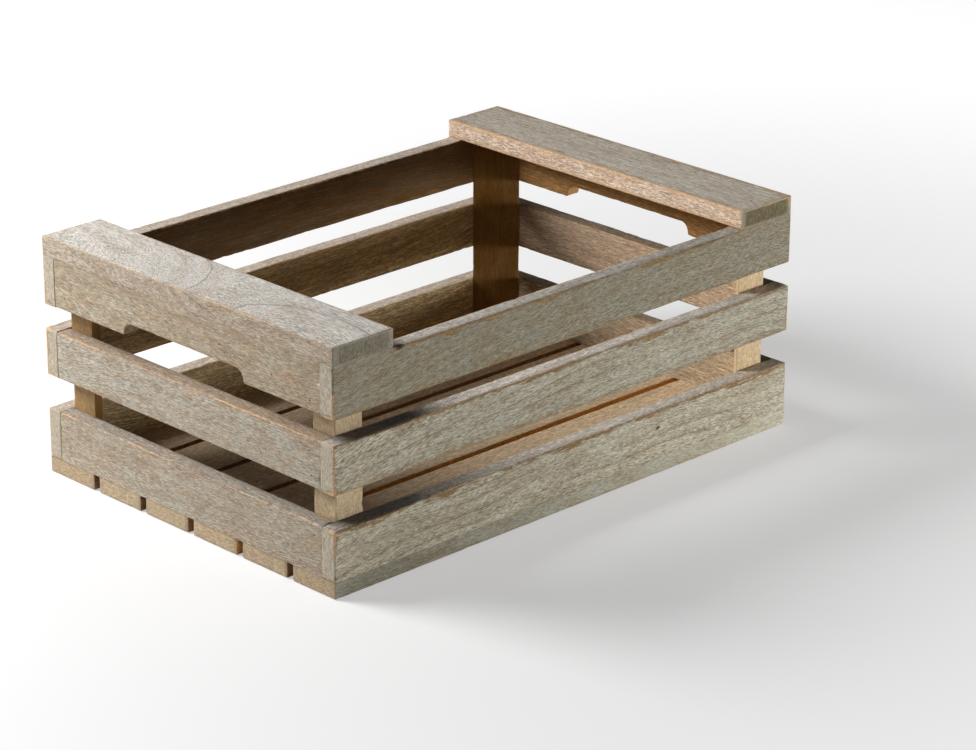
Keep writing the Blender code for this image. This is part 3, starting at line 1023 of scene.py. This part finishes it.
def postCorners(node, legs, seed):
    # the square corner against the slats, then the two ends of the sloping face
    xSign, ySign = postSigns(node)
    low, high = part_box(node)
    middle = (low + high) / 2
    corner = Vector((high.x if xSign > 0 else low.x, high.y if ySign > 0 else low.y))
    corner = (corner - middle.xy) / mm + Vector((xSign, ySign)) * seamSeat

    def cornersAt(x):
        alongX = legs[0] - posts["wave"] * (gentle(x, 22, seed + 1) + gentle(x, 5, seed + 3) * 0.5)
        alongY = legs[1] - posts["wave"] * (gentle(x, 25, seed + 2) + gentle(x, 5, seed + 4) * 0.5)
        return [corner, corner - Vector((xSign * alongX, 0)), corner - Vector((0, ySign * alongY))]
    return cornersAt


def makePosts():
    for node, seed, place, size, figure in boardsOf(posts):
        corners = postCorners(node, posts["legs"][node], seed)
        makeBoard(node, posts, seed, place, size[0] + 2 * seamSeat, corners, posts["shape"], figure)
    print("posts made")


# Brads: small dark steel heads, all but flush with the wood, each set where a line meets its board. Thirteen
# are where the photograph shows them; the others follow the same pattern.

brads = {
    "head": 0.65,
    "profile": (
        (0.0, 0.10), (0.6, 0.08), (0.9, 0.02), (1.0, -0.10), (0.42, -0.30), (0.40, -2.2), (0.0, -3.2),
    ),
    "steps": 14,
    "sunk": 0.03,
    "steel": (0.022, 0.020, 0.018, 1),
    "rust": (0.045, 0.020, 0.008, 1),
    "metallic": 0.3,
    "castFrom": {"above": 200, "beside": 250, "below": -50, "diagonal": 40},
    "down": {
        "left_cap": ((-174.1, -113.4), (-154.8, -121.2), (-175.9, 113.3), (-161.9, 119.8)),
        "right_cap": ((178.1, -56.7), (162.1, -117.4), (175.0, 112.9), (160.5, 121.0)),
    },
    "endwise": {
        "left_slat_lower": ((-88.3, 21.5), (-110.5, 34.0), (108.0, 20.5), (110.5, 33.0)),
        "left_slat_middle": ((-109.0, 69.5), (-107.0, 84.0), (109.5, 70.0), (107.5, 85.0)),
        "left_slat_upper": ((-32.5, 125.9), (-76.9, 120.2), (-108.5, 114.0), (108.0, 115.5)),
        "right_slat_lower": ((-109.0, 20.0), (-107.5, 33.0), (108.5, 21.0), (109.5, 34.0)),
        "right_slat_middle": ((-108.0, 70.5), (-110.0, 84.5), (108.5, 69.5), (109.0, 84.0)),
        "right_slat_upper": ((-109.5, 116.0), (-107.5, 129.0), (109.0, 115.0), (108.0, 128.5)),
    },
    "upwards": {"x": (-182.5, 182.5), "shares": (0.25, 0.75)},  # of a floor board's width
    "postPattern": ((23.9, -0.24), (24.6, 0.28), (79.7, -0.14), (78.8, 0.32)),  # height, share of the leg
}


def bradSteel():
    material, tree, shader = newMaterial("brad_steel")
    rust = ease(tree, cloud(tree, objectPlace(tree), 3.0, 0.6, 1.6), 0.45, 0.65)
    setSockets(tree, shader, {
        "Base Color": blendColor(tree, rust, brads["steel"], brads["rust"]),
        "Roughness": ease(tree, rust, 0, 1, 0.45, 0.85), "Metallic": brads["metallic"]})
    return material


def bradMesh(shell, surface, start, way):
    # a turned head and shank where a line from start meets the wood, head outwards
    place, normal = surface.ray_cast(start, way)[:2]
    side = normal.orthogonal().normalized()
    other = normal.cross(side)
    steps = brads["steps"]
    rings = []
    for radius, rise in brads["profile"]:
        middle = place + normal * (rise - brads["sunk"]) * mm
        turns = [math.tau * step / steps for step in range(steps)] if radius else [0.0]
        rings.append([shell.verts.new(
            middle + (side * math.cos(turn) + other * math.sin(turn)) * radius * brads["head"] * mm)
            for turn in turns])
    for first, second in zip(rings, rings[1:]):
        for step in range(steps):
            after = (step + 1) % steps
            corners = [first[step % len(first)], second[step % len(second)],
                       second[after % len(second)], first[after % len(first)]]
            shell.faces.new(list(dict.fromkeys(corners)))


def makeBradSet(node, lines, material):
    # all the brads of one piece, as one object
    host = bpy.data.objects[node + "_wood"]
    corners = [host.matrix_world @ vertex.co for vertex in host.data.vertices]
    surface = BVHTree.FromPolygons(corners, [face.vertices[:] for face in host.data.polygons])
    shell = bmesh.new()
    for start, way in lines:
        bradMesh(shell, surface, Vector(start) * mm, Vector(way))
    bmesh.ops.recalc_face_normals(shell, faces=shell.faces)
    mesh = meshFrom(shell, node + "_brads")
    mesh.materials.append(material)
    piece = addObject(node + "_brads", mesh)
    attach(piece, "root")


def makeBrads():
    steel = bradSteel()
    castFrom = brads["castFrom"]
    for node, spots in brads["down"].items():
        makeBradSet(node, [((x, y, castFrom["above"]), (0, 0, -1)) for x, y in spots], steel)
    for node, spots in brads["endwise"].items():
        sign = -1 if node.startswith("left") else 1
        makeBradSet(node, [((sign * castFrom["beside"], y, z), (-sign, 0, 0)) for y, z in spots], steel)
    upwards = brads["upwards"]
    for node in floorBoards["figures"]:
        low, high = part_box(node)
        ys = [low.y * (1 - share) / mm + high.y * share / mm for share in upwards["shares"]]
        makeBradSet(node, [((x, y, castFrom["below"]), (0, 0, 1)) for x in upwards["x"] for y in ys], steel)
    for node in posts["figures"]:
        low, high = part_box(node)
        middle, leg = (low + high) / 2 / mm, (high.x - low.x) / mm
        xSign, ySign = postSigns(node)
        outwards, far = Vector((xSign, ySign, 0)).normalized(), castFrom["diagonal"]
        starts = [(middle.x - xSign * (far - leg * share), middle.y - ySign * (far + leg * share), z)
                  for z, share in brads["postPattern"]]
        makeBradSet(node, [(start, outwards) for start in starts], steel)
    print("brads set")


# Plain studio: a pale floor that reads as white, a soft lamp from behind on the left, a low fill from the
# front right, and an even sky

studio = {
    "floorSize": 24.0,
    "floorColor": 0.55,
    "floorBounce": 0.90,
    "floorLift": (0.44, 0.85),
    "liftReach": (0.25, 1.0),
    "skyLevel": 0.035,
    "floorDrop": 0.15,
    "floorRoughness": 0.9,
    "lamps": {
        "softLamp": {"from": (-0.52, 0.64, 0.57), "distance": 1.2, "size": (0.7, 0.5), "power": 19.8},
        "fillLamp": {"from": (0.63, -0.762, 0.0), "distance": 0.98, "size": (0.9, 0.12), "power": 6.2},
    },
}


def seenRays(tree):
    # 1 for rays from the camera, in a reflection or through glass, else 0
    rays = putNode(tree, "ShaderNodeLightPath").outputs
    either = calc(tree, "ADD", rays["Is Camera Ray"], rays["Is Glossy Ray"], clamp=True)
    return calc(tree, "ADD", either, rays["Is Transmission Ray"], clamp=True)


def makeLamp(name, settings):
    data = bpy.data.lights.new(name, "AREA")
    data.shape = "ELLIPSE"
    data.size, data.size_y = settings["size"]
    data.energy = settings["power"]
    lamp = addObject(name, data)
    target = Vector((0, 0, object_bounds()[1].z / 2))
    toLamp = Vector(settings["from"]).normalized()
    lamp.location = target + toLamp * settings["distance"]
    lamp.rotation_mode = "QUATERNION"
    lamp.rotation_quaternion = toLamp.to_track_quat("Z", "Y")
    lamp.visible_camera = False


def makeStudio(settings):
    half = settings["floorSize"] / 2
    mesh = bpy.data.meshes.new("studioFloor")
    corners = [(-half, -half, 0), (half, -half, 0), (half, half, 0), (-half, half, 0)]
    mesh.from_pydata(corners, [], [(0, 1, 2, 3)])
    floor = addObject("studioFloor", mesh)
    floor.location.z = -settings["floorDrop"] * mm
    material, tree, shader = newMaterial("studioFloorPaper")
    seen = seenRays(tree)
    middle = putNode(tree, "ShaderNodeTexCoord").outputs["Object"]
    lift = ease(tree, lengthOf(tree, middle), *settings["liftReach"], *settings["floorLift"])
    setSockets(tree, shader, {
        "Base Color": ease(tree, seen, 0, 1, settings["floorBounce"], settings["floorColor"]),
        "Roughness": settings["floorRoughness"], "Specular IOR Level": 0.0, "Emission Color": (1, 1, 1, 1),
        "Emission Strength": calc(tree, "MULTIPLY", seen, lift)})
    mesh.materials.append(material)
    floor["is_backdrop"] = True

    world = bpy.data.worlds.new("studioSky")
    world.use_nodes = True
    tree = world.node_tree
    level = ease(tree, seenRays(tree), 0, 1, settings["skyLevel"], 1.0)
    setSockets(tree, tree.nodes["Background"], {"Color": (1, 1, 1, 1), "Strength": level})
    bpy.context.scene.world = world

    for name, lamp in settings["lamps"].items():
        makeLamp(name, lamp)
    bpy.context.scene.view_settings.view_transform = "Standard"
    print("studio made")


makeCamera(cameraView)
makeLongSlats()
makeEndSlats()
makeCaps()
makeFloor()
makePosts()
makeBrads()
makeStudio(studio)
